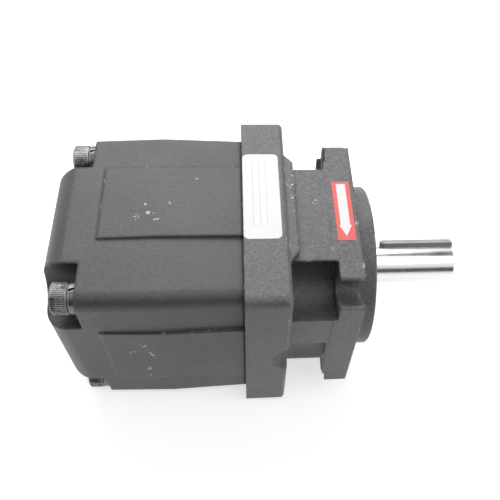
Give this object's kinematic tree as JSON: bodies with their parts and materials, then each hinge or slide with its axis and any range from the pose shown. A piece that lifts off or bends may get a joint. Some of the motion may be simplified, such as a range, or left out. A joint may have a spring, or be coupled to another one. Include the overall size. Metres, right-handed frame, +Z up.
{
  "type": "pto hydraulic pump",
  "caption": "Square cast-iron hydraulic vane pump with a round pilot, an open-notch mounting flange, a keyed drive shaft and threaded ports.",
  "frame": {"origin": "centre of the mounting face, where the shaft axis crosses it", "axes": "+X along the shaft to its free end, +Z up, out of the side with the rating label, +Y to the side with the inlet port"},
  "size_m": [0.2448, 0.1308, 0.1308],
  "materials": {
    "housing_paint": "satin black paint over a sand casting",
    "body_paint": "satin black paint over a smooth casting",
    "screw_steel": "worn black oxide",
    "washer_steel": "plain spring steel",
    "shaft_steel": "ground and polished",
    "key_steel": "drawn key steel, dark",
    "seal_metal": "pressed sheet",
    "seal_rubber": "matte",
    "spring_steel": "bright",
    "bearing_steel": "ground",
    "ball_steel": "polished",
    "cage_brass": "machined",
    "clip_steel": "black phosphate",
    "side_plate_iron": "lapped face",
    "cam_steel": "ground track",
    "rotor_steel": "ground",
    "vane_steel": "ground",
    "bush_bronze": "reamed",
    "dowel_steel": "ground",
    "nitrile": "matte",
    "backup_plastic": "matte"
  },
  "bodies": {
    "housing": {"front_housing": "housing_paint", "rear_body": "body_paint", "body_screws": "screw_steel", "lock_washers": "washer_steel", "seal_case": "seal_metal", "seal_lip": "seal_rubber", "garter_spring": "spring_steel", "bearing_outer_ring": "bearing_steel", "housing_clip": "clip_steel", "front_side_plate": "side_plate_iron", "cam_ring": "cam_steel", "pressure_plate": "side_plate_iron", "rear_bush": "bush_bronze", "dowel_pins": "dowel_steel", "cartridge_screws": "screw_steel", "joint_o_ring": "nitrile", "side_plate_o_ring": "nitrile", "pressure_plate_o_ring": "nitrile", "backup_ring": "backup_plastic", "preload_spring": "spring_steel"},
    "rotating_group": {"shaft": "shaft_steel", "shaft_key": "key_steel", "bearing_inner_ring": "bearing_steel", "shaft_clip": "clip_steel", "rotor": "rotor_steel"},
    "bearing_cage_set": {"bearing_cage": "cage_brass", "bearing_balls": "ball_steel"},
    "vane_01_body": {"vane_01": "vane_steel"},
    "vane_02_body": {"vane_02": "vane_steel"},
    "vane_03_body": {"vane_03": "vane_steel"},
    "vane_04_body": {"vane_04": "vane_steel"},
    "vane_05_body": {"vane_05": "vane_steel"},
    "vane_06_body": {"vane_06": "vane_steel"},
    "vane_07_body": {"vane_07": "vane_steel"},
    "vane_08_body": {"vane_08": "vane_steel"},
    "vane_09_body": {"vane_09": "vane_steel"},
    "vane_10_body": {"vane_10": "vane_steel"}
  },
  "joints": [
    {"name": "shaft_spin", "type": "hinge", "parent": "housing", "child": "rotating_group", "pos_m": [0, 0, 0], "axis": [1, 0, 0], "continuous": true},
    {"name": "cage_spin", "type": "hinge", "parent": "housing", "child": "bearing_cage_set", "pos_m": [-0.033, 0, 0], "axis": [1, 0, 0], "continuous": true},
    {"name": "vane_01_slide", "type": "slide", "parent": "rotating_group", "child": "vane_01_body", "axis": [0, 0.9511, 0.309], "range_m": [0, 0.00035]},
    {"name": "vane_02_slide", "type": "slide", "parent": "rotating_group", "child": "vane_02_body", "axis": [0, 0.5878, 0.809], "range_m": [0, 0.0025]},
    {"name": "vane_03_slide", "type": "slide", "parent": "rotating_group", "child": "vane_03_body", "axis": [0, 0, 1], "range_m": [0, 0.00385]},
    {"name": "vane_04_slide", "type": "slide", "parent": "rotating_group", "child": "vane_04_body", "axis": [0, -0.5878, 0.809], "range_m": [0, 0.0025]},
    {"name": "vane_05_slide", "type": "slide", "parent": "rotating_group", "child": "vane_05_body", "axis": [0, -0.9511, 0.309], "range_m": [0, 0.00035]},
    {"name": "vane_06_slide", "type": "slide", "parent": "rotating_group", "child": "vane_06_body", "axis": [0, -0.9511, -0.309], "range_m": [0, 0.00035]},
    {"name": "vane_07_slide", "type": "slide", "parent": "rotating_group", "child": "vane_07_body", "axis": [0, -0.5878, -0.809], "range_m": [0, 0.0025]},
    {"name": "vane_08_slide", "type": "slide", "parent": "rotating_group", "child": "vane_08_body", "axis": [0, 0, -1], "range_m": [0, 0.00385]},
    {"name": "vane_09_slide", "type": "slide", "parent": "rotating_group", "child": "vane_09_body", "axis": [0, 0.5878, -0.809], "range_m": [0, 0.0025]},
    {"name": "vane_10_slide", "type": "slide", "parent": "rotating_group", "child": "vane_10_body", "axis": [0, 0.9511, -0.309], "range_m": [0, 0.00035]}
  ],
  "couplings": [
    {"joint": "cage_spin", "follows": "shaft_spin", "ratio": 0.3967}
  ]
}
